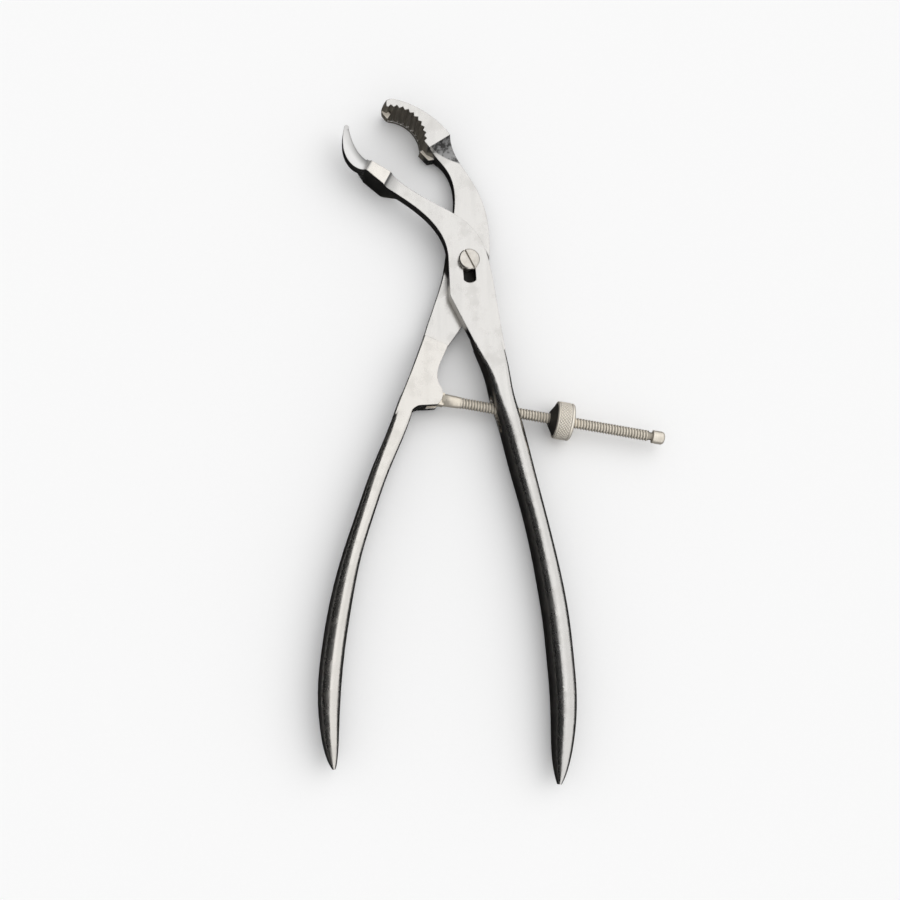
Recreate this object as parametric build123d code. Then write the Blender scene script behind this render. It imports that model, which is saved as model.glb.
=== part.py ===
from build123d import *
import os
from math import atan2, cos, radians, sin

# Self-centring bone holding forceps with a threaded lock.
# Millimetres. Origin: pivot axis at the back face of the lap joint.
# X points from the left handle to the right one, Y to the jaws, Z from back to front.

# Overall length: points and places in the plan are hundredths of it
forceps_length = 231.0
percent = forceps_length / 100

# Lap joint of the two arms
lap_thickness = 4.5
lap_gap = 0.05
front_back = lap_thickness + lap_gap
front_face = front_back + lap_thickness

# Pivot screw and the slot it rides in
journal_radius = 2.7
running_gap = 0.05
screw_head_radius = 3.6
screw_head_height = 2.0
screw_head_chamfer = 0.35
driver_slot_width = 0.6
driver_slot_depth = 1.0
driver_slot_angle = -62
screw_flat_width = 4.2
tail_radius = 3.5
tail_height = 1.0
slot_travel = 5.2
slot_angle = -86

# Closing turn of the arms, for which the front arm's shoulder is cut clear of the rear lap
closing_turn = 11.4
shoulder_room = 0.9

# Toothed jaw
jaw_back = -1.8
jaw_front = 11.7
tooth_count = 10
tooth_depth = 0.9
tooth_arc_radius = 11.0
jaw_outer_radius = 32.8
jaw_nose_radius = 12.0
jaw_nose_level = 6.5
jaw_rim = 1.2
jaw_rim_stand = 0.15
tip_land_back = 3.4
tip_land_front = 6.2
scoop_radius = 8.6
back_scoop_radius = 4.0

# Wide bone pad of the smooth jaw
pad_back = -2.0
pad_front = 10.2
pad_cove = 3.0
pad_hook_cove = 1.6
pad_back_slope = 6.0
pad_hook_slope = 2.5
pad_width = 4.0
hook_edge = 1.3

# Lock rod, its lug and its slot
pin_x = -5.8 * percent
pin_y = -20.54 * percent
rod_angle = -8.2
rod_level = front_face / 2
rod_radius = 1.9
root_radius = 2.2
root_start = 4.9
root_end = 13.0
eye_radius = 2.6
eye_thickness = 3.4
tongue_overlap = 0.6
fork_gap = 0.1
fork_room = 0.5
hinge_pin_radius = 1.0
handle_crossing = 11.47 * percent
rod_slot_above = 4.7
rod_slot_below = 7.6
rod_slot_gap = 0.4

# Lock nut and its conical seat
nut_radius = 6.5
nut_width = 6.0
nut_crown = 0.9
seat_tip_radius = 2.6
seat_base_radius = 5.6
seat_height = 2.0
thread_gap = 0.05
seat_distance = 15.7
nut_start = handle_crossing + seat_distance + seat_height

# End stop of the rod
nut_run = 28.5
neck_radius = 1.35
neck_length = 1.1
rod_end = nut_start + nut_width + nut_run - neck_length
stop_radius = 2.25
stop_length = 4.2
stop_rounding = 1.2

# Handles: widest and deepest section
handle_width = 8.2
handle_depth = 12.0

# Handle stations: x, y, share of the width, share of the depth, roundness of the corners, middle level
left_handle = [
    (-8.18, -19.48, 0.56, front_face / handle_depth, 0.25, rod_level),
    (-9.31, -22.73, 0.66, front_face / handle_depth, 0.3, rod_level),
    (-10.35, -25.76, 0.68, 0.8, 0.45, rod_level),
    (-12.68, -31.6, 0.67, 0.87, 0.65, rod_level),
    (-14.76, -37.88, 0.67, 0.93, 0.8, rod_level),
    (-16.54, -43.72, 0.72, 0.98, 0.9, rod_level),
    (-17.97, -50.22, 0.84, 1.0, 0.97, rod_level),
    (-18.96, -56.71, 0.88, 1.0, 0.97, rod_level),
    (-19.48, -63.2, 0.87, 0.97, 0.97, rod_level),
    (-19.35, -68.18, 0.71, 0.83, 0.97, rod_level),
    (-19.0, -71.65, 0.46, 0.6, 0.97, rod_level),
    (-18.66, -73.59, 0.12, 0.18, 0.97, rod_level),
]
right_handle = [
    (1.9, -8.66, 1.1, 0.32, 0.2, front_face - 0.18 * handle_depth),
    (2.64, -11.26, 1.24, 0.44, 0.25, front_face - 0.22 * handle_depth),
    (3.42, -13.64, 1.13, 0.6, 0.3, 0.63 * front_face),
    (4.42, -16.67, 0.96, 0.8, 0.45, 0.55 * front_face),
    (5.19, -20.13, 0.9, 0.93, 0.7, 0.51 * front_face),
    (6.23, -23.59, 0.9, 0.98, 0.9, rod_level),
    (7.75, -29.44, 0.9, 1.0, 0.97, rod_level),
    (9.35, -35.5, 0.85, 1.0, 0.97, rod_level),
    (10.78, -41.34, 0.87, 1.0, 0.97, rod_level),
    (11.95, -46.97, 0.95, 1.0, 0.97, rod_level),
    (12.9, -52.81, 0.99, 1.0, 0.97, rod_level),
    (13.46, -58.44, 1.0, 1.0, 0.97, rod_level),
    (13.81, -64.07, 0.98, 0.97, 0.97, rod_level),
    (13.68, -68.61, 0.88, 0.87, 0.97, rod_level),
    (13.33, -72.94, 0.6, 0.63, 0.97, rod_level),
    (13.07, -75.76, 0.15, 0.2, 0.97, rod_level),
]


def plan(*points):
    """Points of the plan in millimetres, from hundredths of the length."""
    return [(x * percent, y * percent) for x, y in points]


# Corners of the rear lap: behind the teeth, and at the step where the handle starts
heel, shoulder = plan((-6.1, 16.97), (-2.94, 19.18))
step_left, step_right = plan((-6.45, -11.69), (-3.07, -13.07))


def slab(edges, low, high):
    """Solid between two levels with a closed outline."""
    return Pos(0, 0, low) * extrude(make_face(edges), high - low, dir=(0, 0, 1))


def rod_frame(distance):
    """Frame on the axis of the lock rod, with Z along the rod."""
    turned = Pos(pin_x, pin_y, rod_level) * Rot(0, 0, rod_angle)
    return turned * Pos(distance, 0, 0) * Rot(0, 90, 0)


def handle(stations):
    """Loft of rounded sections that stand square to the handle's centre line."""
    sections = []
    for index, (x, y, width, depth, roundness, level) in enumerate(stations):
        before = stations[max(index - 1, 0)]
        after = stations[min(index + 1, len(stations) - 1)]
        run = Vector(after[0] - before[0], after[1] - before[1]).normalized()
        middle = (x * percent, y * percent, level)
        across = Plane(origin=middle, x_dir=(-run.Y, run.X, 0), z_dir=(run.X, run.Y, 0))
        wide = width * handle_width
        deep = depth * handle_depth
        sections.append(across * RectangleRounded(wide, deep, roundness * min(wide, deep) / 2))
    return loft(sections)


def tooth_points(start, end):
    """Zigzag of the teeth along an arc that bulges away from the bone."""
    chord = end - start
    rise = (tooth_arc_radius**2 - (chord.length / 2) ** 2) ** 0.5
    across = Vector(chord.Y, -chord.X) / chord.length
    centre = start + chord / 2 + across * rise
    first = atan2(start.Y - centre.Y, start.X - centre.X)
    last = atan2(end.Y - centre.Y, end.X - centre.X)
    points = []
    for index in range(2 * tooth_count + 1):
        angle = first + (last - first) * index / (2 * tooth_count)
        reach = tooth_arc_radius + (tooth_depth if index % 2 else 0)
        points.append((centre.X + reach * cos(angle), centre.Y + reach * sin(angle)))
    return points


def lap_outline():
    """Plan of the rear arm's thin half, from the toothed jaw to the step at the handle."""
    bulge = plan((-0.82, 15.67), (2.08, 10.87), (3.51, 3.98), (2.68, -3.03), (-0.22, -8.87))
    hollow = plan((-4.72, -6.19), (-3.29, -1.04), (-2.68, 3.46), (-1.82, 8.66), (-2.25, 13.16))
    right = Spline(shoulder, *bulge, step_right)
    left = Spline(step_left, *hollow, heel)
    return [right, Line(step_right, step_left), left, Line(heel, shoulder)]


def toothed_jaw():
    """Toothed jaw with its smooth back rim, the small land at its tip and its rounded nose."""
    tip, crown, brow = plan((-13.07, 23.33), (-11.17, 24.2), (-12.38, 24.03))
    first, last = plan((-12.29, 22.9), (-6.84, 17.88))
    teeth = tooth_points(Vector(*first), Vector(*last))
    outside = [RadiusArc(shoulder, crown, -jaw_outer_radius), ThreePointArc(crown, brow, tip)]
    jaw = slab([Polyline(tip, *teeth, heel, shoulder), *outside], jaw_back, jaw_front)

    chord = Vector(*last) - Vector(*first)
    inward = Vector(chord.Y, -chord.X).normalized() * jaw_rim_stand
    deepest = teeth[tooth_count // 2 * 2]
    rim_middle = (deepest[0] + inward.X, deepest[1] + inward.Y)
    smooth = [Line(tip, first), ThreePointArc(first, rim_middle, last), Polyline(last, heel, shoulder)]
    rim = slab([*smooth, *outside], jaw_back, jaw_back + jaw_rim)

    corners = plan((-13.07, 23.12), (-12.34, 23.64), (-11.65, 22.81), (-12.16, 22.03))
    land = slab(Polyline(*corners, close=True), tip_land_back, tip_land_front)

    nose_axis = Pos(tip[0] + jaw_nose_radius, tip[1], jaw_nose_level)
    reach = 4 * jaw_nose_radius
    nose = nose_axis * Rot(90, 0, 0) * Cylinder(jaw_nose_radius, reach)
    rest = nose_axis * Box(reach, reach, reach, align=(Align.MIN, Align.CENTER, Align.CENTER))
    return (jaw + rim + land) & (nose + rest)


def rear_arm():
    outline = lap_outline()
    lap = slab(outline, 0, lap_thickness)
    corners = plan((-7.1, 17.4), (-6.49, 17.97), (-4.89, 16.28), (-5.8, 16.1))
    heel_land = slab(Polyline(*corners, close=True), 0, lap_thickness)

    along = Vector(shoulder[0] - heel[0], shoulder[1] - heel[1])
    wall = Plane(origin=heel + (0,), x_dir=along, z_dir=(0, 0, 1))
    front_strip = wall * Pos(along.length / 2, -scoop_radius / 2, (lap_thickness + jaw_front) / 2) * Box(
        3 * along.length, scoop_radius, jaw_front - lap_thickness
    )
    front_cut = wall * Pos(along.length / 2, -scoop_radius, lap_thickness + scoop_radius) * Rot(0, 90, 0)
    front_web = slab(outline, lap_thickness, jaw_front) & front_strip
    front_web -= front_cut * Cylinder(scoop_radius, 4 * along.length)
    back_reach = (back_scoop_radius**2 - (back_scoop_radius + jaw_back) ** 2) ** 0.5
    back_strip = wall * Pos(along.length / 2, -back_reach / 2, jaw_back / 2) * Box(
        3 * along.length, back_reach, -jaw_back
    )
    back_cut = wall * Pos(along.length / 2, -back_reach, -back_scoop_radius) * Rot(0, 90, 0)
    back_web = slab(outline, jaw_back, 0) & back_strip
    back_web -= back_cut * Cylinder(back_scoop_radius, 4 * along.length)

    waist, nose_top = plan((-4.16, -15.58), (-4.63, -17.53))
    lug_top, lug_tip, lug_end = plan((-4.29, -19.05), (-3.81, -20.52), (-4.59, -21.95))
    floor_end, bend, root = plan((-7.19, -22.16), (-8.18, -22.77), (-8.74, -24.24))
    outer_root, *outer = plan((-10.78, -23.55), (-9.87, -21.0), (-8.61, -17.75), (-7.36, -14.29))
    neck = slab(
        [
            Line(step_left, step_right),
            Spline(step_right, waist, nose_top, lug_top),
            ThreePointArc(lug_top, lug_tip, lug_end),
            Line(lug_end, floor_end),
            ThreePointArc(floor_end, bend, root),
            Line(root, outer_root),
            Spline(outer_root, *outer, step_left),
        ],
        0,
        front_face,
    )
    arm = lap + heel_land + toothed_jaw() + front_web + back_web + neck + handle(left_handle)

    fork = Pos(pin_x, pin_y, rod_level) * Rot(0, 0, rod_angle)
    fork_width = eye_thickness + 2 * fork_gap
    fork_radius = eye_radius + fork_room
    arm -= fork * Cylinder(fork_radius, fork_width)
    arm -= fork * Pos(0, fork_radius, 0) * Box(
        4 * fork_radius, 6 * fork_radius, fork_width, align=(Align.MIN, Align.MAX, Align.CENTER)
    )
    arm -= Pos(pin_x, pin_y, rod_level) * Cylinder(hinge_pin_radius, 2 * front_face)
    arm -= Cylinder(journal_radius + running_gap, 3 * lap_thickness)
    sink = Cone(tail_radius + 2 * running_gap, journal_radius + running_gap, tail_height)
    arm -= Pos(0, 0, tail_height / 2) * sink
    return arm


def cove(wall, foot):
    """Hollow arc that falls from the front of the pad and runs out level on the front face."""
    reach = foot - wall
    rise = pad_front - front_face
    radius = (reach**2 + rise**2) / (2 * rise)
    centre = Vector(foot, front_face + radius)
    middle = (Vector(wall, pad_front) - centre).normalized() + Vector(0, -1)
    middle = centre + middle.normalized() * radius
    return ThreePointArc((wall, pad_front), (middle.X, middle.Y), (foot, front_face))


def front_arm():
    hook_inner, hook_outer = plan((-17.97, 19.74), (-18.7, 19.74))
    (hook_tip,) = plan((-18.35, 20.13))
    inside = plan((-17.4, 17.84), (-16.19, 15.76))
    hook_root, pad_end = plan((-14.59, 14.59), (-11.73, 12.99))
    upper = plan((-8.79, 10.65), (-4.29, 8.23), (-1.86, 6.97), (1.0, 4.59))
    upper += plan((2.9, 0.65), (3.94, -4.37), (4.81, -9.78), (5.45, -13.42))
    inner_end, notch, waist = plan((1.39, -13.42), (-2.77, -5.45), (-3.03, 0.43))
    lower = plan((-4.29, 4.16), (-7.27, 7.36), (-12.29, 10.65))
    (belly,) = plan((-15.54, 13.25))
    outside = plan((-17.1, 13.72), (-18.35, 15.24), (-18.87, 17.75))
    outline = [
        Spline(hook_inner, *inside, hook_root),
        Line(hook_root, pad_end),
        Spline(pad_end, *upper),
        Polyline(upper[-1], inner_end, notch, waist),
        Spline(waist, *lower),
        Line(lower[-1], belly),
        Spline(belly, *outside, hook_outer),
        ThreePointArc(hook_outer, hook_tip, hook_inner),
    ]
    plate = slab(outline, front_back, front_face)
    hook_edges = plate.edges().group_by(Axis.Z)[-1].sort_by(Axis.X)
    plate = fillet(hook_edges[2], hook_edge)
    pad_run = Vector(pad_end[0] - hook_root[0], pad_end[1] - hook_root[1])
    side = Plane(origin=hook_root + (0,), x_dir=pad_run, z_dir=(pad_run.Y, -pad_run.X, 0))
    pad_length = pad_run.length
    back = Polyline(
        (pad_length + pad_cove, front_face),
        (pad_length + pad_back_slope, front_back),
        (pad_length, pad_back),
        (0, pad_back),
        (-pad_hook_slope, front_back),
        (-pad_hook_cove, front_face),
    )
    front = Line((0, pad_front), (pad_length, pad_front))
    pad_side = make_face([front, cove(pad_length, pad_length + pad_cove), back, cove(0, -pad_hook_cove)])
    pad_block = side * Pos(0, 0, -pad_width) * extrude(pad_side, 3 * pad_width)
    pad = slab(outline, pad_back, pad_front) & pad_block
    arm = plate + pad + handle(right_handle)

    slot_run = Vector(cos(radians(slot_angle)), sin(radians(slot_angle)))
    swept = slab(lap_outline(), -lap_thickness, front_back)
    for turn in (0, closing_turn / 2, closing_turn + shoulder_room):
        for shift in (0, slot_travel + shoulder_room / 2):
            arm -= Pos(slot_run.X * shift, slot_run.Y * shift, 0) * Rot(0, 0, turn) * swept
    end_radius = journal_radius + running_gap
    slot_length = slot_travel + 2 * end_radius
    slot_face = SlotOverall(slot_length, 2 * end_radius) & Rectangle(slot_length, screw_flat_width + 2 * running_gap)
    slot_place = Pos(slot_run.X * slot_travel / 2, slot_run.Y * slot_travel / 2, 0) * Rot(0, 0, slot_angle)
    arm -= slot_place * Pos(0, 0, -lap_thickness) * extrude(slot_face, 4 * lap_thickness)

    slot_middle = (rod_slot_above - rod_slot_below) / 2
    rod_slot = SlotOverall(rod_slot_above + rod_slot_below, 2 * (rod_radius + rod_slot_gap))
    rod_slot = extrude(Rot(0, 0, 90) * rod_slot, handle_width, both=True)
    return arm - rod_frame(handle_crossing) * Pos(0, slot_middle, 0) * rod_slot


def pivot_screw():
    head_floor = front_face + running_gap
    head = Pos(0, 0, head_floor + screw_head_height / 2) * Cylinder(screw_head_radius, screw_head_height)
    head = chamfer(head.edges().group_by(Axis.Z)[-1], screw_head_chamfer)
    driver_slot = Pos(0, 0, head_floor + screw_head_height) * Rot(0, 0, driver_slot_angle) * Box(
        3 * screw_head_radius, driver_slot_width, 2 * driver_slot_depth
    )
    flats = Cylinder(journal_radius, head_floor - lap_thickness, align=(Align.CENTER, Align.CENTER, Align.MIN))
    flats = flats & Rot(0, 0, slot_angle) * Box(3 * journal_radius, screw_flat_width, 4 * lap_thickness)
    journal = Cylinder(journal_radius, lap_thickness, align=(Align.CENTER, Align.CENTER, Align.MIN))
    tail = Pos(0, 0, tail_height / 2) * Cone(tail_radius, journal_radius, tail_height)
    return head - driver_slot + Pos(0, 0, lap_thickness) * flats + journal + tail


def lock_rod():
    eye = Pos(pin_x, pin_y, rod_level) * Cylinder(eye_radius, eye_thickness)
    tongue = Pos(pin_x, pin_y, rod_level) * Rot(0, 0, rod_angle) * Box(
        root_start + tongue_overlap, 2 * root_radius, eye_thickness, align=(Align.MIN, Align.CENTER, Align.CENTER)
    )
    root = rod_frame((root_start + root_end) / 2) * Cone(root_radius, rod_radius, root_end - root_start)
    thread = rod_frame((root_end + rod_end) / 2) * Cylinder(rod_radius, rod_end - root_end)
    neck = rod_frame(rod_end + neck_length / 2) * Cylinder(neck_radius, neck_length)
    rod = eye + tongue + root + thread + neck
    return rod - Pos(pin_x, pin_y, rod_level) * Cylinder(hinge_pin_radius + running_gap, 2 * front_face)


def rod_hinge_pin():
    return Pos(pin_x, pin_y, rod_level) * Cylinder(hinge_pin_radius, front_face)


def rod_end_stop():
    middle = rod_frame(rod_end + neck_length + stop_length / 2)
    stop = Cylinder(stop_radius, stop_length)
    stop = fillet(stop.edges().group_by(Axis.Z)[-1], stop_rounding)
    return middle * stop


def lock_nut():
    profile = make_face(
        [
            Line((rod_radius + thread_gap, 0), (nut_radius, 0)),
            Line((nut_radius, 0), (nut_radius, nut_width - nut_crown)),
            ThreePointArc(
                (nut_radius, nut_width - nut_crown),
                (nut_radius - 0.3 * nut_crown, nut_width - 0.35 * nut_crown),
                (nut_radius - nut_crown, nut_width),
            ),
            Line((nut_radius - nut_crown, nut_width), (rod_radius + thread_gap, nut_width)),
            Line((rod_radius + thread_gap, nut_width), (rod_radius + thread_gap, 0)),
        ]
    )
    return rod_frame(nut_start) * revolve(Plane.XZ * profile, Axis.Z)


def nut_seat():
    cone = Cone(seat_tip_radius, seat_base_radius, seat_height)
    ring = cone - Cylinder(rod_radius + thread_gap, 2 * seat_height)
    return rod_frame(nut_start - seat_height / 2) * ring


pieces = {
    "rear_arm": rear_arm(),
    "front_arm": front_arm(),
    "pivot_screw": pivot_screw(),
    "lock_rod": lock_rod(),
    "rod_hinge_pin": rod_hinge_pin(),
    "rod_end_stop": rod_end_stop(),
    "lock_nut": lock_nut(),
    "nut_seat": nut_seat(),
}

os.makedirs("parts", exist_ok=True)
for name, piece in pieces.items():
    export_step(piece, f"parts/{name}.step")
    print(name, round(piece.volume, 1), "mm3, solids:", len(piece.solids()))
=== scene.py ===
import bmesh
import bpy
from math import asin, atan2, cos, pi, radians, sin
from mathutils import Matrix, Vector


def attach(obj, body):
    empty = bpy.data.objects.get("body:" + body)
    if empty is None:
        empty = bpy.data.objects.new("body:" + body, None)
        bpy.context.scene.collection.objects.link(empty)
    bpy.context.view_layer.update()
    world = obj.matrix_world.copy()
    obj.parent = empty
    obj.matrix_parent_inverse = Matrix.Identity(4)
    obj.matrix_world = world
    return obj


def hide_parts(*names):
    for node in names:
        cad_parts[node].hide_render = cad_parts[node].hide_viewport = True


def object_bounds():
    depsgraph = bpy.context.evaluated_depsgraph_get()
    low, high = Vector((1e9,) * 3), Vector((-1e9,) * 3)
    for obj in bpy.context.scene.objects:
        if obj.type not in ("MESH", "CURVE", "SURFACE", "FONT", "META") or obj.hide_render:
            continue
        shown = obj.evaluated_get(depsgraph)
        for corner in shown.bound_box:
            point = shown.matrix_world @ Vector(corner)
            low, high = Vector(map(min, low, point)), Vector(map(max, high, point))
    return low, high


# Bone holding forceps: dressing of the CAD part. Metres, same frame as the part;
# sizes of pieces are written in millimetres and brought to metres by MM.
MM = 0.001

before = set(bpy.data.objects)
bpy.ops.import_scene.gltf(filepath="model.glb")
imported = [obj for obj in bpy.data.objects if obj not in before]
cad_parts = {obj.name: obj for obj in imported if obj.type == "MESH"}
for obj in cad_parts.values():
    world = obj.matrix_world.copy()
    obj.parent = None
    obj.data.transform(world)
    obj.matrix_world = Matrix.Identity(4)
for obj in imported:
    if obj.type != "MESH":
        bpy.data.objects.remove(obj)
cad_low, cad_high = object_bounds()

# Lock rod: hinge pin, direction and sizes
PIN = Vector((-13.398, -47.4474, 4.525))
ROD_ANGLE = radians(-8.2)
ROD_RADIUS = 1.9
ROOT_RADIUS = 2.2
ROOT_START = 4.9
ROOT_END = 13.0
ROD_END = 77.6
NECK_RADIUS = 1.35
NECK_END = 78.7
ROD_CHAMFER = 0.15
END_LEDGE = 0.12
ROD_COUNT = 32

# Thread: distances along the rod, and the ridge as (share of the pitch, share of the depth)
THREAD_START = 9.6
THREAD_RUN_OUT = 2.5
THREAD_PITCH = 1.0
THREAD_DEPTH = 0.34
THREAD_PROFILE = [(0.0, 1.0), (0.1, 0.96), (0.38, 0.06), (0.5, 0.0), (0.62, 0.06), (0.9, 0.96)]
THREAD_STEPS = 28
CORE_ROOM = 0.02

# Eye of the rod
EYE_RADIUS = 2.6
EYE_THICKNESS = 3.4
EYE_CHAMFER = 0.15
EYE_SHRINK = 0.95
EYE_COUNT = 20
TONGUE_OVERLAP = 0.6
PIN_HOLE = 1.05

# Lock nut: sizes, then its chamfered ends as (distance, radius)
NUT_START = 44.2
NUT_WIDTH = 6.0
NUT_RADIUS = 6.5
NUT_BORE = 1.95
KNURL_COUNT = 36
KNURL_ROWS = 8
KNURL_START = 0.55
KNURL_END = 4.75
KNURL_DEPTH = 0.24
NUT_FRONT = [(0.35, NUT_BORE), (0.0, NUT_BORE + 0.35), (0.0, NUT_RADIUS - 0.35), (0.3, NUT_RADIUS - 0.06)]
NUT_BACK = [
    (NUT_WIDTH - 1.0, NUT_RADIUS - 0.03),
    (NUT_WIDTH - 0.55, NUT_RADIUS - 0.16),
    (NUT_WIDTH - 0.2, NUT_RADIUS - 0.5),
    (NUT_WIDTH, NUT_RADIUS - 1.1),
    (NUT_WIDTH, NUT_BORE + 0.35),
    (NUT_WIDTH - 0.35, NUT_BORE),
]

# Places on the toothed jaw
TOOTH_CENTRE = Vector((-26.7, 42.4, 0))
TIP_LAND = Vector((-28.5, 53.0, 0))
HEEL_LAND = Vector((-14.0, 38.8, 0))
HEEL = Vector((-14.09, 39.2, 0))
SHOULDER = Vector((-6.79, 44.31, 0))

# Places on the hooked jaw; along the pad, distances are counted from its lower end
PAD_END = Vector((-28.3, 27.5, 0))
PAD_DIRECTION = Vector((0.894, -0.447, 0))
HOOK_CENTRE = Vector((-17.1, 51.7, 0))
HOOK_RADIUS = 25.8

# Soft borders of the zones of the finish, from their start to their end in millimetres
HANDLE_BORDER = (26.0, 46.0)
FLUSH_PIN_REACH = (2.0, 2.6)
TOOTH_REACH = (12.2, 13.0)
TOOTH_FOOT = (38.0, 39.0)
TIP_LAND_REACH = (2.5, 3.0)
HEEL_LAND_REACH = (2.3, 2.8)
LAND_LEVELS = (3.0, 3.3), (6.8, 7.4)
SCOOP_TOP = (-0.15, 0.15)
SCOOP_FOOT = (-0.5, 0.3)
SCOOP_SIDE = (0.2, 0.6)
JAW_FACE_LEVEL = (11.45, 11.6)
DARK_ROUND_SCREW_REACH = (8.0, 9.0)
DARK_ROUND_SCREW_LEVELS = (2.0, 3.0), (4.9, 5.2)
WARM_START = (27.0, 32.0)
HOOK_BORDER = (-8.3, -7.2)
HOOK_CURL = (-0.2, 2.6)
HOOK_BASE = (33.0, 44.0)
COVE = (-8.9, -8.2), (-7.6, -6.9)
PAD = (-7.4, -7.0), (-0.2, 0.1)
NOTCH = (-0.1, 0.1), (0.4, 6.5)
DEEP_NOTCH = (-0.1, 0.1), (0.3, 1.3)
LAP_FLANK = (-24.5, -23.0), (-9.5, -8.0)

# Materials: height of the brush marks, and roughness of the polished arms

BUMP_HEIGHT = 0.02
POLISH = 0.18


class Value:
    """A number or vector that varies over a surface, used in sums and products."""

    def __init__(self, finish, socket):
        self.finish = finish
        self.socket = socket

    def output(self, name):
        return Value(self.finish, self.socket.node.outputs[name])

    def __add__(self, other):
        return self.finish.maths("ADD", self, other)

    def __sub__(self, other):
        return self.finish.maths("SUBTRACT", self, other)

    def __mul__(self, other):
        return self.finish.maths("MULTIPLY", self, other)

    def __rsub__(self, other):
        return self.finish.maths("SUBTRACT", other, self)

    def __neg__(self):
        return self * -1

    def __abs__(self):
        return self.finish.maths("ABSOLUTE", self)

    __radd__ = __add__
    __rmul__ = __mul__


class Finish:
    """A node tree that describes a surface or the surroundings."""

    def __init__(self, owner):
        owner.use_nodes = True
        self.owner = owner
        self.tree = owner.node_tree

    def node(self, kind, settings, inputs, output=0):
        made = self.tree.nodes.new(kind)
        for name, value in settings.items():
            setattr(made, name, value)
        for name, value in inputs.items():
            if isinstance(value, Value):
                self.tree.links.new(value.socket, made.inputs[name])
            else:
                made.inputs[name].default_value = value
        return Value(self, made.outputs[output])

    def maths(self, operation, *terms):
        return self.node("ShaderNodeMath", {"operation": operation}, dict(enumerate(terms)))

    def vector(self, operation, *terms, output=0):
        return self.node("ShaderNodeVectorMath", {"operation": operation}, dict(enumerate(terms)), output)

    def clamped(self, value):
        return self.node("ShaderNodeClamp", {}, {"Value": value})

    def larger(self, first, second):
        return self.maths("MAXIMUM", first, second)

    def step(self, value, start, end):
        """0 below start, 1 above end, smooth between."""
        settings = {"interpolation_type": "SMOOTHSTEP"}
        return self.node("ShaderNodeMapRange", settings, {"Value": value, "From Min": start, "From Max": end})

    def between(self, value, rise, fall):
        """1 between a rising and a falling border."""
        return self.step(value, *rise) * (1 - self.step(value, *fall))

    def blend(self, factor, first, second):
        settings = {"data_type": "RGBA", "clamp_factor": True}
        return self.node("ShaderNodeMix", settings, {0: factor, 6: first, 7: second}, 2)

    def noise(self, place, scale, detail=2.0, roughness=0.5):
        inputs = {"Vector": place, "Scale": scale, "Detail": detail, "Roughness": roughness}
        return self.node("ShaderNodeTexNoise", {}, inputs)

    def stretched(self, place, amounts):
        return self.vector("MULTIPLY", place, amounts)

    def parts(self, place):
        split = self.node("ShaderNodeSeparateXYZ", {}, {"Vector": place})
        return split, split.output("Y"), split.output("Z")

    def surface(self):
        """Place on the piece in millimetres, and the direction that the surface faces."""
        coordinates = self.node("ShaderNodeTexCoord", {}, {}, "Object")
        place = self.vector("SCALE", coordinates)
        place.socket.node.inputs["Scale"].default_value = 1 / MM
        return place, coordinates.output("Normal")

    def normals(self, radius, samples):
        """Normal with its edges rounded, and the plain one."""
        rounded = self.node("ShaderNodeBevel", {"samples": samples}, {"Radius": radius * MM})
        return rounded, self.node("ShaderNodeNewGeometry", {}, {}, "Normal")

    def edge(self, rounded, plain, end):
        """1 where the rounded normal leaves the plain one."""
        return 1 - self.step(self.vector("DOT_PRODUCT", rounded, plain, output="Value"), 0.8, end)

    def bump(self, height, normal, strength):
        inputs = {"Height": height, "Normal": normal, "Strength": strength, "Distance": BUMP_HEIGHT * MM}
        return self.node("ShaderNodeBump", {}, inputs)

    def distance(self, place, centre):
        """Distance from an upright axis through the centre."""
        flat = self.stretched(place, (1.0, 1.0, 0.0))
        return self.vector("DISTANCE", flat, Vector((centre.x, centre.y, 0)), output="Value")

    def spot(self, place, centre, reach):
        """1 near an upright axis, 0 beyond its reach."""
        return 1 - self.step(self.distance(place, centre), *reach)

    def beyond(self, place, start, direction):
        """Distance past an upright plane through the start."""
        heading = direction.normalized()
        return self.vector("DOT_PRODUCT", place, heading, output="Value") - start.dot(heading)

    def feed(self, node_type, **sockets):
        """Connects values to the tree's shader of that type."""
        shader = next(n for n in self.tree.nodes if n.bl_idname == node_type)
        for name, value in sockets.items():
            socket = shader.inputs[name.replace("_", " ")]
            if isinstance(value, Value):
                self.tree.links.new(value.socket, socket)
            else:
                socket.default_value = value


def grey(level, warmth=0.0):
    """Linear colour near grey, warmer for positive warmth."""
    return (level * (1 + warmth), level, level * (1 - 1.6 * warmth), 1.0)


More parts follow.
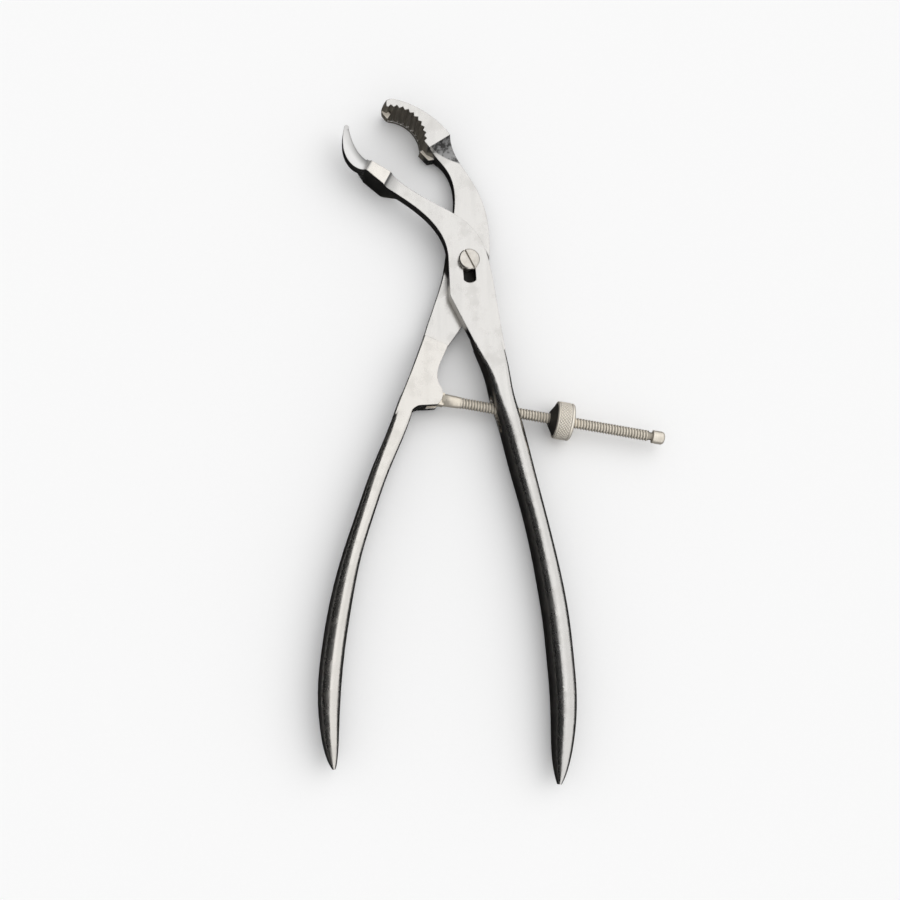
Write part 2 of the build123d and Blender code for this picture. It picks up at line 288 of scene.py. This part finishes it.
def steel(name, face_colour, right_flank_shade_colour, shade_and_marks):
    """Stainless steel: brushed along the arms, bright on the faces, with painted shade that makes the flanks
    greyer and the left ones darker, edges rubbed lighter with a painted highlight kept off the left flanks,
    smudges and fine pits."""
    finish = Finish(bpy.data.materials.new(name))
    place, normal = finish.surface()
    leaning, _, facing = finish.parts(normal)
    _, along, _ = finish.parts(place)
    handle = finish.step(-along, *HANDLE_BORDER)
    # Masks of the flanks that carry painted shade: side walls, leaning left or right
    side = 1 - finish.step(abs(facing), 0.5, 0.85)
    left = side * finish.step(-leaning, 0.0, 0.3)
    right = side * finish.step(leaning, 0.0, 0.3)

    brushed = finish.noise(finish.stretched(place, (7.0, 0.35, 7.0)), 1.0, 3.0, 0.6)
    streaks = finish.noise(finish.stretched(place, (0.32, 0.04, 0.32)), 1.0, 2.0, 0.5)
    bands = finish.step(streaks, 0.4, 0.7)
    smudge = finish.step(finish.noise(place, 0.16, 4.0, 0.6), 0.46, 0.66)
    pits = finish.step(finish.noise(place, 5.0, 1.0, 0.5), 0.7, 0.8)

    # The hinge pin is ground flush with its lug, so no edge shows round it
    rounded, plain = finish.normals(0.35, 6)
    flush = finish.spot(place, PIN, FLUSH_PIN_REACH)
    rounded = finish.node("ShaderNodeMix", {"data_type": "VECTOR"}, {0: flush, 4: rounded, 5: plain}, 1)
    edge = finish.edge(rounded, plain, 0.995) * (1 - left)

    # Painted shade: the right flanks greyer than the faces
    colour = finish.blend(right, face_colour, right_flank_shade_colour)
    colour = finish.blend(bands * 0.3, colour, grey(0.56, 0.02))
    colour = finish.blend(smudge * 0.12, colour, grey(0.5, 0.05))
    # Edges rubbed lighter, and a painted highlight: none on the left flanks
    colour = finish.blend(edge * 0.45, colour, grey(0.78, 0.03))
    # Painted shade: the left flanks darker still
    colour = finish.blend(left, colour, finish.blend(smudge, grey(0.3, 0.02), grey(0.36, 0.03)))
    rough = POLISH + 0.10 * brushed + 0.10 * smudge - 0.06 * edge + 0.08 * left
    colour, rough, metal = shade_and_marks(finish, place, facing, colour, rough)
    height = brushed * 0.2 * (1 - left * 0.8) * (1 - handle * 0.7) + pits * -0.15
    finish.feed(
        "ShaderNodeBsdfPrincipled",
        Metallic=metal,
        Base_Color=colour,
        Roughness=finish.clamped(rough),
        Specular_Tint=(0.5, 0.5, 0.5, 1.0),
        Normal=finish.bump(height, rounded, 0.2),
    )
    return finish.owner


def rear_shade_and_marks(finish, place, facing, colour, rough):
    """Painted shade on the walls round the teeth, dark olive and streaked, painted highlights on the lands
    beside them, a mottled stain in the scoop darkened by painted shade, near black round the screw and a
    warmer tone from the step of the lap down."""
    _, along, level = finish.parts(place)
    upward = finish.step(facing, 0.55, 0.75)
    wall = 1 - finish.step(abs(facing), 0.3, 0.6)
    # Painted shade: the side walls round the teeth are dark olive, streaked
    tooth_wall_shade = finish.spot(place, TOOTH_CENTRE, TOOTH_REACH) * finish.step(along, *TOOTH_FOOT) * wall
    streaks = finish.noise(finish.stretched(place, (2.2, 2.2, 0.12)), 1.0, 3.0, 0.6)
    stain = finish.blend(streaks, grey(0.045, 0.1), grey(0.26, 0.13))
    colour = finish.blend(tooth_wall_shade * 0.93, colour, stain)

    # Painted highlight: the lands are bright cream and less metallic
    tip_land = finish.spot(place, TIP_LAND, TIP_LAND_REACH)
    heel_land = finish.spot(place, HEEL_LAND, HEEL_LAND_REACH)
    land_highlight = finish.larger(tip_land, heel_land) * upward * finish.between(level, *LAND_LEVELS)
    colour = finish.blend(land_highlight, colour, finish.blend(streaks, grey(0.62, 0.08), grey(0.8, 0.08)))

    # The scoop reaches from the line between heel and shoulder down to a slanting foot
    line = SHOULDER - HEEL
    depth = finish.beyond(place, HEEL, Vector((line.y, -line.x, 0)))
    run = finish.beyond(place, HEEL, line)
    foot = finish.larger((run - 2.9) * 1.2 + 2.6, 0.0)
    scoop = finish.step(depth, *SCOOP_TOP) * (1 - finish.step(depth - foot, *SCOOP_FOOT))
    scoop = scoop * finish.step(run, *SCOOP_SIDE) * (1 - finish.step(level, *JAW_FACE_LEVEL))
    # Mottled stain in the scoop, darkened by painted shade and lighter where it faces up
    mottled_shade = finish.step(finish.noise(place, 0.55, 3.0, 0.6) + 0.1 * upward, 0.45, 0.65)
    colour = finish.blend(scoop * 0.93, colour, finish.blend(mottled_shade, grey(0.035), grey(0.3)))

    # Near black round the screw, between the lap's levels, under the front arm
    dark_round_screw = finish.spot(place, Vector((0, 0, 0)), DARK_ROUND_SCREW_REACH) * finish.between(level, *DARK_ROUND_SCREW_LEVELS)
    colour = finish.blend(dark_round_screw * 0.95, colour, grey(0.025, 0.05))

    below_lap = finish.beyond(place, Vector((0, 0, 0)), Vector((-0.3, -1.0, 0)))
    warm = finish.step(below_lap, *WARM_START) * upward
    colour = finish.blend(warm * 0.35, colour, grey(0.76, 0.06))
    rough = rough + 0.15 * tooth_wall_shade + 0.2 * scoop + 0.3 * dark_round_screw
    return colour, rough, 1 - finish.clamped(land_highlight * 0.85 + scoop * 0.5 + tooth_wall_shade * 0.6)


def front_painted_light(finish, place, facing, colour, rough):
    """Painted light and shade: soft shading of the hook, of the hollows at both ends of the pad and of the
    lap's flank, and a warm painted highlight on the pad.
    """
    _, along, _ = finish.parts(place)
    upward = finish.step(facing, 0.2, 0.6)
    past = finish.beyond(place, PAD_END, PAD_DIRECTION)
    hook = (1 - finish.step(past, *HOOK_BORDER)) * upward
    curl = 1 - finish.step(finish.distance(place, HOOK_CENTRE) - HOOK_RADIUS, *HOOK_CURL)
    base = 1 - finish.step(along, *HOOK_BASE)
    # Painted highlight on the hook's face, with painted shade towards its inner curl
    colour = finish.blend(hook, colour, grey(0.78, 0.01))
    colour = finish.blend(hook * curl * (0.25 + 0.6 * base), colour, grey(0.16, 0.01))

    # Painted shade in the cove at the pad's upper end
    cove = finish.between(past, *COVE) * finish.step(facing, 0.35, 0.7)
    colour = finish.blend(cove * 0.8, colour, grey(0.42, 0.03))
    # Painted highlight: the pad is bright and warm
    pad = finish.between(past, *PAD) * upward
    colour = finish.blend(pad * 0.8, colour, grey(0.78, 0.045))
    # Painted shade in the notch at the pad's lower end, darkest at its wall
    notch = finish.between(past, *NOTCH) * upward
    colour = finish.blend(notch * 0.75, colour, grey(0.3, 0.01))
    deep = finish.between(past, *DEEP_NOTCH) * upward
    colour = finish.blend(deep * 0.85, colour, grey(0.06, 0.01))

    # Painted highlight on the lap's flank
    flank = finish.between(along, *LAP_FLANK) * (1 - upward)
    colour = finish.blend(flank * 0.8, colour, grey(0.66, 0.05))
    dull = finish.clamped(hook + cove + flank)
    return colour, rough + 0.12 * dull, 1 - dull * 0.75


def turned_steel(name, colour, dark, polish, metal, centre, axis, ring_scale, groove=None):
    """Steel turned on a lathe: fine rings about an axis, stained, darker and browner in its grooves.
    The groove is its share of the darker colour, its bottom radius and its top radius."""
    finish = Finish(bpy.data.materials.new(name))
    place, _ = finish.surface()
    from_centre = finish.vector("SUBTRACT", place, centre)
    along = finish.vector("DOT_PRODUCT", from_centre, axis, output="Value")
    square = finish.vector("DOT_PRODUCT", from_centre, from_centre, output="Value")
    reach = finish.maths("SQRT", finish.larger(square - along * along, 0.0))
    inputs = {"W": reach + along, "Scale": ring_scale, "Detail": 2.0}
    rings = finish.node("ShaderNodeTexNoise", {"noise_dimensions": "1D"}, inputs)
    stain = finish.step(finish.noise(place, 0.5, 4.0, 0.6), 0.35, 0.7)
    rounded, plain = finish.normals(0.15, 4)
    edge = finish.edge(rounded, plain, 0.99)
    colour = finish.blend(stain * 0.5, colour, dark)
    colour = finish.blend(edge * 0.5, colour, grey(0.78, 0.04))
    if groove:
        share, bottom, top = groove
        deep = 1 - finish.step(reach, bottom, top)
        colour = finish.blend(deep * share, colour, grey(0.2, 0.12))
    finish.feed(
        "ShaderNodeBsdfPrincipled",
        Metallic=metal,
        Base_Color=colour,
        Roughness=finish.clamped(polish + 0.12 * rings + 0.1 * stain),
        Normal=finish.bump(rings, rounded, 0.4),
    )
    return finish.owner


def rod_steel(name, polish, colour, dark, groove=None):
    """Warm steel of the lock, turned about the rod's axis."""
    axis = Vector((cos(ROD_ANGLE), sin(ROD_ANGLE), 0))
    return turned_steel(name, colour, dark, polish, 0.6, PIN, axis, 4.0, groove)


# The third colour is the painted shade of the right flanks
front_steel = steel("front_arm_steel", grey(0.68, 0.02), grey(0.34, 0.02), front_painted_light)
rear_steel = steel("rear_arm_steel", grey(0.68, 0.02), grey(0.45, 0.02), rear_shade_and_marks)
screw_steel = turned_steel(
    "screw_steel", grey(0.7, 0.05), grey(0.5, 0.06), 0.24, 1.0, Vector((0, 0, 0)), Vector((0, 0, 1)), 3.0
)
thread_steel = rod_steel("thread_steel", 0.24, grey(0.8, 0.09), grey(0.62, 0.1), (0.75, 1.56, 1.78))
knurl_steel = rod_steel("knurl_steel", 0.34, grey(0.95, 0.07), grey(0.9, 0.08), (0.4, 6.24, 6.44))
# The nut seat's near-black colour is a painted dark reflection
seat_steel_painted_dark = rod_steel("seat_steel_painted_dark", 0.35, grey(0.05, 0.08), grey(0.03, 0.1))
stop_steel = rod_steel("stop_steel", 0.22, grey(0.75, 0.08), grey(0.55, 0.1))

# Lock rod and nut

ROD_PLACE = Matrix.Translation(PIN) @ Matrix.Rotation(ROD_ANGLE, 4, "Z")


def around(mesh, distance, radius, angle):
    """Vertex on a circle about the rod's axis."""
    return mesh.verts.new((distance, radius * cos(angle), radius * sin(angle)))


def ring(mesh, distance, radius, count):
    return [around(mesh, distance, radius, 2 * pi * index / count) for index in range(count)]


def band(mesh, first, second):
    """Faces between two rings of the same count."""
    for index in range(len(first)):
        after = (index + 1) % len(first)
        mesh.faces.new((first[index], second[index], second[after], first[after]))


def turned(mesh, profile, count):
    """Turned shape with closed ends from (distance, radius) points."""
    rings = [ring(mesh, distance, radius, count) for distance, radius in profile]
    for first, second in zip(rings, rings[1:]):
        band(mesh, first, second)
    mesh.faces.new(reversed(rings[0]))
    mesh.faces.new(rings[-1])


def crest_at(distance):
    """Outer radius of the rod: conical root, then straight, chamfered at the far end."""
    if distance < ROOT_END:
        share = max(0.0, (distance - ROOT_START) / (ROOT_END - ROOT_START))
        return ROOT_RADIUS + (ROD_RADIUS - ROOT_RADIUS) * share
    return min(ROD_RADIUS, NECK_RADIUS + END_LEDGE + ROD_END - distance)


def depth_at(distance):
    """Depth of the thread, which runs out on the conical root."""
    return THREAD_DEPTH * min(1.0, max(0.0, (distance - THREAD_START) / THREAD_RUN_OUT))


def thread(mesh):
    """Helical ridge from the root to the neck, a strip that winds round the rod."""
    turns = int((ROD_END - THREAD_START) / THREAD_PITCH) - 1
    strip = []
    for index in range(turns * THREAD_STEPS + 1):
        start = THREAD_START + THREAD_PITCH * index / THREAD_STEPS
        row = []
        for share, sink in THREAD_PROFILE:
            distance = start + THREAD_PITCH * share
            radius = crest_at(distance) - depth_at(distance) * sink
            row.append(around(mesh, distance, radius, 2 * pi * index / THREAD_STEPS))
        strip.append(row)
    for index in range(len(strip) - 1):
        here, after = strip[index], strip[index + 1]
        for low in range(len(THREAD_PROFILE) - 1):
            mesh.faces.new((here[low], here[low + 1], after[low + 1], after[low]))
        if index + THREAD_STEPS + 1 < len(strip):
            next_turn, next_after = strip[index + THREAD_STEPS], strip[index + THREAD_STEPS + 1]
            mesh.faces.new((here[-1], next_turn[0], next_after[0], after[-1]))


def rod_eye(mesh):
    """Flat eye and tongue in the fork, with the hole for the hinge pin."""
    tongue_end = ROOT_START + TONGUE_OVERLAP
    outline = [(tongue_end, side * ROOT_RADIUS) for side in (-1, 0, 1)]
    turn = asin(ROOT_RADIUS / EYE_RADIUS)
    for index in range(EYE_COUNT + 1):
        angle = turn + (2 * pi - 2 * turn) * index / EYE_COUNT
        outline.append((EYE_RADIUS * cos(angle), EYE_RADIUS * sin(angle)))
    angles = [atan2(y, x) for x, y in outline]
    hole = [(PIN_HOLE * cos(angle), PIN_HOLE * sin(angle)) for angle in angles]

    def loop(points, level, shrink=1.0):
        return [mesh.verts.new((x * shrink, y * shrink, level)) for x, y in points]

    top = EYE_THICKNESS / 2
    chamfered = top - EYE_CHAMFER
    loops = [loop(outline, -top, EYE_SHRINK), loop(outline, -chamfered)]
    loops += [loop(outline, chamfered), loop(outline, top, EYE_SHRINK)]
    loops = [loop(hole, -top), *loops, loop(hole, top)]
    for first, second in zip(loops, [*loops[1:], loops[0]]):
        band(mesh, first, second)


def finished(mesh, name, place, material, sharp_angle):
    """Turns mesh code into a piece, smooth except at its sharp edges."""
    bmesh.ops.recalc_face_normals(mesh, faces=mesh.faces)
    mesh.transform(Matrix.Scale(MM, 4) @ place)
    for face in mesh.faces:
        face.smooth = True
    for line in mesh.edges:
        line.smooth = len(line.link_faces) == 2 and line.calc_face_angle() < radians(sharp_angle)
    data = bpy.data.meshes.new(name)
    mesh.to_mesh(data)
    mesh.free()
    data.materials.append(material)
    piece = bpy.data.objects.new(name, data)
    bpy.context.scene.collection.objects.link(piece)
    return piece


def lock_rod():
    mesh = bmesh.new()
    core = ROD_RADIUS - THREAD_DEPTH - CORE_ROOM
    taper_start = THREAD_START + 1.0
    taper_end = THREAD_START + 2.6
    profile = [
        (ROOT_START, ROOT_RADIUS - ROD_CHAMFER),
        (ROOT_START + ROD_CHAMFER, ROOT_RADIUS),
        (taper_start, crest_at(taper_start) - 0.03),
        (taper_end, core),
        (ROD_END - 0.6, core),
        (ROD_END - 0.4, core),
        (ROD_END, NECK_RADIUS),
        (NECK_END, NECK_RADIUS),
    ]
    turned(mesh, profile, ROD_COUNT)
    thread(mesh)
    rod_eye(mesh)
    return finished(mesh, "threaded_rod", ROD_PLACE, thread_steel, 50)


def knurled_rings(mesh, count):
    """Rings on which every second vertex stands out, in turn from ring to ring."""
    rings = []
    for row in range(KNURL_ROWS + 1):
        distance = KNURL_START + (KNURL_END - KNURL_START) * row / KNURL_ROWS
        spots = []
        for index in range(count):
            low = (row + index) % 2 or row in (0, KNURL_ROWS)
            radius = NUT_RADIUS - (KNURL_DEPTH if low else 0.0)
            spots.append(around(mesh, distance, radius, 2 * pi * index / count))
        rings.append(spots)
    return rings


def lock_nut():
    mesh = bmesh.new()
    count = 2 * KNURL_COUNT
    front = [ring(mesh, distance, radius, count) for distance, radius in NUT_FRONT]
    knurl = knurled_rings(mesh, count)
    back = [ring(mesh, distance, radius, count) for distance, radius in NUT_BACK]
    for chain in ([*front, knurl[0]], [knurl[-1], *back, front[0]]):
        for first, second in zip(chain, chain[1:]):
            band(mesh, first, second)
    for row, (first, second) in enumerate(zip(knurl, knurl[1:])):
        for index in range(count):
            after = (index + 1) % count
            if (row + index) % 2:
                mesh.faces.new((first[index], second[index], second[after]))
                mesh.faces.new((first[index], second[after], first[after]))
            else:
                mesh.faces.new((first[index], second[index], first[after]))
                mesh.faces.new((second[index], second[after], first[after]))
    place = ROD_PLACE @ Matrix.Translation((NUT_START, 0, 0))
    return finished(mesh, "knurled_nut", place, knurl_steel, 24)


rod = lock_rod()
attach(rod, "lock_rod")
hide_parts("lock_rod")
nut = lock_nut()
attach(nut, "lock_nut")
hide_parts("lock_nut")

part_materials = {
    "rear_arm": rear_steel,
    "rod_hinge_pin": rear_steel,
    "front_arm": front_steel,
    "pivot_screw": screw_steel,
    "rod_end_stop": stop_steel,
    "nut_seat": seat_steel_painted_dark,
}
for name, material in part_materials.items():
    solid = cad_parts[name].data
    solid.materials.clear()
    solid.materials.append(material)

# Studio, in metres

FLOOR_HALF = 4.0
FLAG_RADIUS = 1.5
FLAG_COUNT = 24
FLAG_HEIGHT = 0.72
FLAG_RISE = 0.5
GROUND_CARD = (-0.3, 0.3, -0.4, 0.3)
GROUND_CARD_LIFT = 0.0001
CEILING_CARD = (-2.0, -0.25, -1.6, 1.6)
CEILING_LEVEL = 1.2
ROOM_LIGHT = 0.74

# No dark card stands where the cosine of its direction is above this
OPEN_ROOM = -0.25
floor_level = cad_low.z


def paint(name, colour):
    """Dull paint with a faint fibre."""
    finish = Finish(bpy.data.materials.new(name))
    place = finish.node("ShaderNodeTexCoord", {}, {}, "Object")
    fibre = finish.noise(place, 900.0, 2.0)
    tint = finish.blend(fibre * 0.15, colour, grey(0.9 * colour[1]))
    finish.feed("ShaderNodeBsdfPrincipled", Base_Color=tint, Roughness=0.9, Specular_IOR_Level=0.0)
    return finish.owner


def card(name, corners, material):
    data = bpy.data.meshes.new(name)
    data.from_pydata(corners, [], [tuple(range(len(corners)))])
    data.materials.append(material)
    piece = bpy.data.objects.new(name, data)
    bpy.context.scene.collection.objects.link(piece)
    return piece


def mirrored_card(name, corners, material):
    """A card that shows in the steel and nowhere else."""
    piece = card(name, corners, material)
    piece.visible_camera = False
    piece.visible_diffuse = False
    piece.visible_shadow = False


def level_corners(left, right, near, far, level):
    return [(left, near, level), (right, near, level), (right, far, level), (left, far, level)]


floor_corners = level_corners(-FLOOR_HALF, FLOOR_HALF, -FLOOR_HALF, FLOOR_HALF, floor_level)
card("studio_floor", floor_corners, paint("floor_white", grey(0.95)))

# Dark cards on the left, tallest in the middle, as the polished flanks mirror them;
# the rest of the room stays open
dark_card = paint("dark_card", grey(0.02))
for index in range(FLAG_COUNT):
    if cos(2 * pi * index / FLAG_COUNT) > OPEN_ROOM:
        continue
    corners = []
    for half, tall in ((-0.5, False), (0.5, False), (0.5, True), (-0.5, True)):
        angle = 2 * pi * (index + half) / FLAG_COUNT
        top = FLAG_RADIUS * (FLAG_HEIGHT - FLAG_RISE * cos(angle))
        level = top if tall else floor_level
        corners.append((FLAG_RADIUS * cos(angle), FLAG_RADIUS * sin(angle), level))
    mirrored_card(f"flag_{index}", corners, dark_card)

# Dark ground and dark left half of the ceiling
mirror_card = paint("mirror_card", grey(0.05))
mirrored_card("ground_card", level_corners(*GROUND_CARD, floor_level + GROUND_CARD_LIFT), mirror_card)
mirrored_card("ceiling_card", level_corners(*CEILING_CARD, CEILING_LEVEL), mirror_card)


def soft_light(name, direction, spread, level):
    """Broad light from a direction, which lights a white floor to the level."""
    data = bpy.data.lights.new(name, "SUN")
    data.angle = radians(spread)
    data.energy = pi * level / Vector(direction).normalized().z
    piece = bpy.data.objects.new(name, data)
    bpy.context.scene.collection.objects.link(piece)
    piece.rotation_mode = "QUATERNION"
    piece.rotation_quaternion = Vector(direction).to_track_quat("Z", "Y")
    return piece


soft_light("overhead_light", direction=(0.15, 0.31, 0.93), spread=50, level=0.03)
key = soft_light("key_light", direction=(0.4, 0.3, 0.87), spread=70, level=0.24)
key.visible_glossy = False

# White where it is seen or mirrored, softer where it lights the floor
world = bpy.data.worlds.new("studio_world")
bpy.context.scene.world = world
surround = Finish(world)
path = surround.node("ShaderNodeLightPath", {}, {}, "Is Camera Ray")
seen = surround.clamped(path + path.output("Is Glossy Ray") + path.output("Is Transmission Ray"))
strength = seen * (1 - ROOM_LIGHT) + ROOM_LIGHT
surround.feed("ShaderNodeBackground", Color=(1.0, 1.0, 1.0, 1.0), Strength=strength)

bpy.context.scene.view_settings.view_transform = "Standard"

# Camera of the photograph

CAMERA_PLACE = Vector((-0.0762269, -0.157661, 0.48))
CAMERA_AIM = Vector((-0.00508178, -0.06444985, 0.0))
FOCAL_LENGTH = 58.306
SENSOR_WIDTH = 36.0
forward = (CAMERA_AIM - CAMERA_PLACE).normalized()
right = forward.cross(Vector((0, 1, 0))).normalized()
above = right.cross(forward)
turn = Matrix((right, above, -forward)).transposed().to_4x4()
view = bpy.data.cameras.new("photo_camera")
view.lens = FOCAL_LENGTH
view.sensor_width = SENSOR_WIDTH
view.clip_start = 0.01
view.clip_end = 50.0
camera = bpy.data.objects.new("photo_camera", view)
bpy.context.scene.collection.objects.link(camera)
camera.matrix_world = Matrix.Translation(CAMERA_PLACE) @ turn
bpy.context.scene.camera = camera
